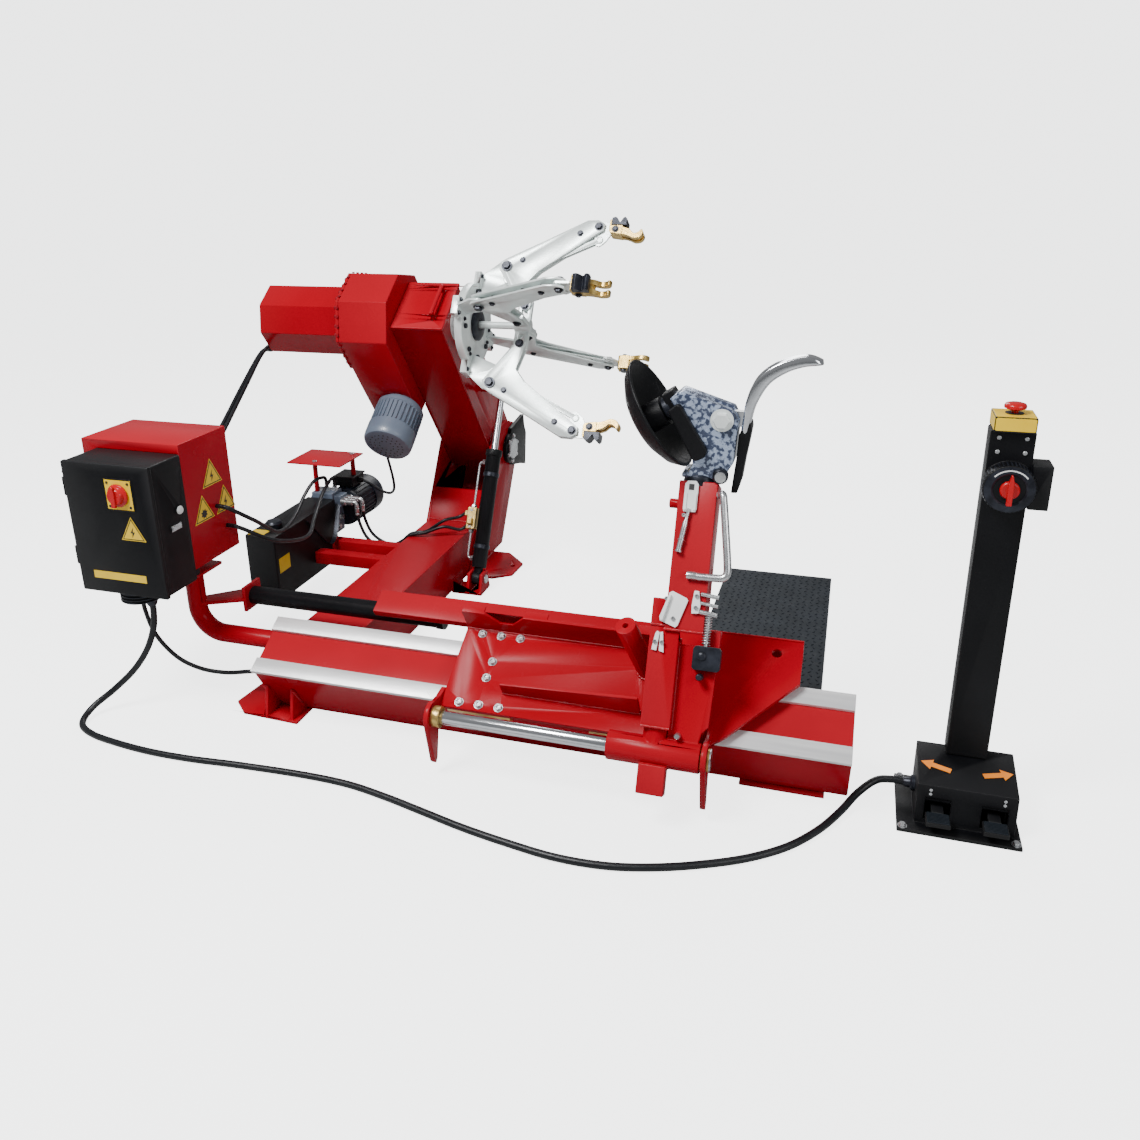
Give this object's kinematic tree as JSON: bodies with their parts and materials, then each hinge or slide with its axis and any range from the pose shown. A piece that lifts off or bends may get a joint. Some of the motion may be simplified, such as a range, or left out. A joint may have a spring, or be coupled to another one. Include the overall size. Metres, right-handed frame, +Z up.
{
  "type": "truck tyre changer machine",
  "caption": "Floor-standing hydraulic truck tyre changer: lifting four-jaw chuck arm, sliding tool carriage with bead disc and hook, pump, cabinet and pedal post.",
  "frame": {"origin": "on the floor, at the middle of the footprint of the whole machine with its pedal post", "axes": "+X along the bed from the cabinet to the pedal post, +Y away from the operator, +Z up"},
  "size_m": [2.826, 2.31, 1.458],
  "materials": {
    "red_paint": "gloss",
    "dark_red_bolts": "gloss",
    "black_paint": "satin",
    "ground_steel": "ground",
    "chrome": "polished",
    "zinc_plate": "satin",
    "brass": "cast",
    "grey_paint": "satin",
    "dark_grey": "satin",
    "hammertone": "hammertone",
    "black_rubber": "matt",
    "red_plastic": "gloss"
  },
  "bodies": {
    "base": {"bed_beam": "red_paint", "guide_rails": "ground_steel", "cross_beam": "red_paint", "rear_column": "red_paint", "pivot_shaft": "ground_steel", "pivot_bearings": "black_paint", "carriage_cylinder": "black_paint", "cabinet_support": "red_paint", "cabinet_shell": "red_paint", "cabinet_enclosure": "black_paint", "electric_panel": "zinc_plate", "pump_tank": "black_paint", "pump_unit": "dark_grey", "pump_guard": "red_paint", "floor_mat": "black_rubber", "control_post": "black_paint", "control_cable": "black_rubber", "hoses": "black_rubber"},
    "cabinet_door": {"cabinet_door": "black_paint"},
    "main_switch": {"main_switch": "red_plastic"},
    "estop_button": {"estop_button": "red_plastic"},
    "selector_knob": {"selector_knob": "red_plastic"},
    "pedal_left": {"pedal_left": "black_paint"},
    "pedal_right": {"pedal_right": "black_paint"},
    "carriage": {"carriage_frame": "red_paint", "slide_guides": "brass", "carriage_bolts": "ground_steel", "arm_shaft": "chrome", "shaft_rings": "brass", "cylinder_rod": "chrome"},
    "tool_arm": {"tool_arm": "red_paint", "arm_levers": "zinc_plate"},
    "tool_head": {"head_casting": "hammertone", "bead_hook": "chrome"},
    "bead_disc": {"bead_disc": "black_paint"},
    "lift_barrel": {"lift_barrel": "black_paint"},
    "lift_rod": {"lift_rod": "chrome"},
    "lift_arm": {"lift_arm": "red_paint", "gear_housing": "red_paint", "spindle_cover": "red_paint", "housing_bolts": "dark_red_bolts", "drive_motor": "grey_paint", "spindle_bearings": "ground_steel"},
    "worm_shaft": {"worm_shaft": "ground_steel"},
    "pinion_shaft": {"pinion_shaft": "ground_steel"},
    "chuck": {"spindle": "ground_steel", "chuck_disc": "zinc_plate"},
    "crosshead": {"crosshead": "zinc_plate"},
    "clamp_arm_1": {"clamp_arm_1": "zinc_plate"},
    "clamp_link_1": {"clamp_link_1": "zinc_plate"},
    "clamp_jaw_1": {"clamp_jaw_1": "brass"},
    "clamp_arm_2": {"clamp_arm_2": "zinc_plate"},
    "clamp_link_2": {"clamp_link_2": "zinc_plate"},
    "clamp_jaw_2": {"clamp_jaw_2": "brass"},
    "clamp_arm_3": {"clamp_arm_3": "zinc_plate"},
    "clamp_link_3": {"clamp_link_3": "zinc_plate"},
    "clamp_jaw_3": {"clamp_jaw_3": "brass"},
    "clamp_arm_4": {"clamp_arm_4": "zinc_plate"},
    "clamp_link_4": {"clamp_link_4": "zinc_plate"},
    "clamp_jaw_4": {"clamp_jaw_4": "brass"}
  },
  "joints": [
    {"name": "carriage_slide", "type": "slide", "parent": "base", "child": "carriage", "axis": [1, 0, 0], "range_m": [-0.44, 0.13]},
    {"name": "tool_arm_tilt", "type": "hinge", "parent": "carriage", "child": "tool_arm", "pos_m": [0.546, -0.99, 0.19], "axis": [1, 0, 0], "range_deg": [0, 60]},
    {"name": "tool_head_swivel", "type": "hinge", "parent": "tool_arm", "child": "tool_head", "pos_m": [0.546, -0.65758, 0.85673], "axis": [0, 0.4462, 0.8949], "range_deg": [0, 180]},
    {"name": "bead_disc_spin", "type": "hinge", "parent": "tool_head", "child": "bead_disc", "pos_m": [0.425, -0.655, 1.014], "axis": [0.8554, 0, 0.518], "continuous": true},
    {"name": "chuck_arm_lift", "type": "hinge", "parent": "base", "child": "lift_arm", "pos_m": [-0.68, 0.84, 0.43], "axis": [1, 0, 0], "range_deg": [-4, 30]},
    {"name": "lift_barrel_pivot", "type": "hinge", "parent": "base", "child": "lift_barrel", "pos_m": [-0.48, 0.222, 0.055], "axis": [1, 0, 0], "range_deg": [-0.7, 4.6]},
    {"name": "lift_rod_slide", "type": "slide", "parent": "lift_barrel", "child": "lift_rod", "axis": [0, 0.4608, 0.8875], "range_m": [-0.211, 0.029]},
    {"name": "chuck_spin", "type": "hinge", "parent": "lift_arm", "child": "chuck", "pos_m": [-0.505, 0.35521, 1.06638], "axis": [1, 0, 0], "continuous": true},
    {"name": "pinion_spin", "type": "hinge", "parent": "lift_arm", "child": "pinion_shaft", "pos_m": [-0.85, 0.47762, 0.90569], "axis": [1, 0, 0], "continuous": true},
    {"name": "worm_spin", "type": "hinge", "parent": "lift_arm", "child": "worm_shaft", "pos_m": [-0.85, 0.53701, 0.82774], "axis": [0, 0.7955, 0.606], "continuous": true},
    {"name": "clamp_stroke", "type": "slide", "parent": "chuck", "child": "crosshead", "axis": [1, 0, 0], "range_m": [-0.144, 0]},
    {"name": "clamp_arm_1_swing", "type": "hinge", "parent": "chuck", "child": "clamp_arm_1", "pos_m": [-0.395, 0.47271, 1.26989], "axis": [0, 0.866, -0.5], "range_deg": [-0.5, 46.5]},
    {"name": "clamp_link_1_swing", "type": "hinge", "parent": "chuck", "child": "clamp_link_1", "pos_m": [-0.39, 0.44771, 1.22659], "axis": [0, 0.866, -0.5], "range_deg": [-0.5, 46.5]},
    {"name": "clamp_jaw_1_tilt", "type": "hinge", "parent": "clamp_arm_1", "child": "clamp_jaw_1", "pos_m": [-0.05, 0.55521, 1.41279], "axis": [0, 0.866, -0.5], "range_deg": [-46.5, 0.5]},
    {"name": "clamp_arm_2_swing", "type": "hinge", "parent": "chuck", "child": "clamp_arm_2", "pos_m": [-0.395, 0.55873, 0.94888], "axis": [0, -0.5, -0.866], "range_deg": [-0.5, 46.5]},
    {"name": "clamp_link_2_swing", "type": "hinge", "parent": "chuck", "child": "clamp_link_2", "pos_m": [-0.39, 0.51542, 0.97388], "axis": [0, -0.5, -0.866], "range_deg": [-0.5, 46.5]},
    {"name": "clamp_jaw_2_tilt", "type": "hinge", "parent": "clamp_arm_2", "child": "clamp_jaw_2", "pos_m": [-0.05, 0.70162, 0.86638], "axis": [0, -0.5, -0.866], "range_deg": [-46.5, 0.5]},
    {"name": "clamp_arm_3_swing", "type": "hinge", "parent": "chuck", "child": "clamp_arm_3", "pos_m": [-0.395, 0.23771, 0.86286], "axis": [0, -0.866, 0.5], "range_deg": [-0.5, 46.5]},
    {"name": "clamp_link_3_swing", "type": "hinge", "parent": "chuck", "child": "clamp_link_3", "pos_m": [-0.39, 0.26271, 0.90616], "axis": [0, -0.866, 0.5], "range_deg": [-0.5, 46.5]},
    {"name": "clamp_jaw_3_tilt", "type": "hinge", "parent": "clamp_arm_3", "child": "clamp_jaw_3", "pos_m": [-0.05, 0.15521, 0.71997], "axis": [0, -0.866, 0.5], "range_deg": [-46.5, 0.5]},
    {"name": "clamp_arm_4_swing", "type": "hinge", "parent": "chuck", "child": "clamp_arm_4", "pos_m": [-0.395, 0.15169, 1.18388], "axis": [0, 0.5, 0.866], "range_deg": [-0.5, 46.5]},
    {"name": "clamp_link_4_swing", "type": "hinge", "parent": "chuck", "child": "clamp_link_4", "pos_m": [-0.39, 0.195, 1.15888], "axis": [0, 0.5, 0.866], "range_deg": [-0.5, 46.5]},
    {"name": "clamp_jaw_4_tilt", "type": "hinge", "parent": "clamp_arm_4", "child": "clamp_jaw_4", "pos_m": [-0.05, 0.0088, 1.26638], "axis": [0, 0.5, 0.866], "range_deg": [-46.5, 0.5]},
    {"name": "cabinet_door_hinge", "type": "hinge", "parent": "base", "child": "cabinet_door", "pos_m": [-1.297, -0.975, 0.65], "axis": [0, 0, -1], "range_deg": [0, 110]},
    {"name": "main_switch_turn", "type": "hinge", "parent": "cabinet_door", "child": "main_switch", "pos_m": [-1.09, -1, 0.765], "axis": [0, 1, 0], "range_deg": [0, 90]},
    {"name": "estop_press", "type": "slide", "parent": "base", "child": "estop_button", "axis": [0, 0, 1], "range_m": [-0.006, 0], "stiffness_N_per_m": 800},
    {"name": "selector_turn", "type": "hinge", "parent": "base", "child": "selector_knob", "pos_m": [1.282, -0.77, 0.905], "axis": [0, 1, 0], "range_deg": [-45, 45]},
    {"name": "pedal_left_press", "type": "hinge", "parent": "base", "child": "pedal_left", "pos_m": [1.21, -0.802, 0.05], "axis": [1, 0, 0], "range_deg": [0, 8], "stiffness_Nm_per_rad": 40, "springref_deg": -2.86},
    {"name": "pedal_right_press", "type": "hinge", "parent": "base", "child": "pedal_right", "pos_m": [1.346, -0.802, 0.05], "axis": [1, 0, 0], "range_deg": [0, 8], "stiffness_Nm_per_rad": 40, "springref_deg": -2.86}
  ],
  "couplings": [
    {"joint": "lift_barrel_pivot", "follows": "chuck_arm_lift", "ratio": 0.148},
    {"joint": "lift_rod_slide", "follows": "chuck_arm_lift", "m_per_rad": -0.4015},
    {"joint": "pinion_spin", "follows": "chuck_spin", "ratio": -3},
    {"joint": "worm_spin", "follows": "chuck_spin", "ratio": 30},
    {"joint": "clamp_arm_1_swing", "follows": "clamp_stroke", "rad_per_m": -5.5754},
    {"joint": "clamp_link_1_swing", "follows": "clamp_stroke", "rad_per_m": -5.5754},
    {"joint": "clamp_jaw_1_tilt", "follows": "clamp_stroke", "rad_per_m": 5.5754},
    {"joint": "clamp_arm_2_swing", "follows": "clamp_stroke", "rad_per_m": -5.5754},
    {"joint": "clamp_link_2_swing", "follows": "clamp_stroke", "rad_per_m": -5.5754},
    {"joint": "clamp_jaw_2_tilt", "follows": "clamp_stroke", "rad_per_m": 5.5754},
    {"joint": "clamp_arm_3_swing", "follows": "clamp_stroke", "rad_per_m": -5.5754},
    {"joint": "clamp_link_3_swing", "follows": "clamp_stroke", "rad_per_m": -5.5754},
    {"joint": "clamp_jaw_3_tilt", "follows": "clamp_stroke", "rad_per_m": 5.5754},
    {"joint": "clamp_arm_4_swing", "follows": "clamp_stroke", "rad_per_m": -5.5754},
    {"joint": "clamp_link_4_swing", "follows": "clamp_stroke", "rad_per_m": -5.5754},
    {"joint": "clamp_jaw_4_tilt", "follows": "clamp_stroke", "rad_per_m": 5.5754}
  ]
}
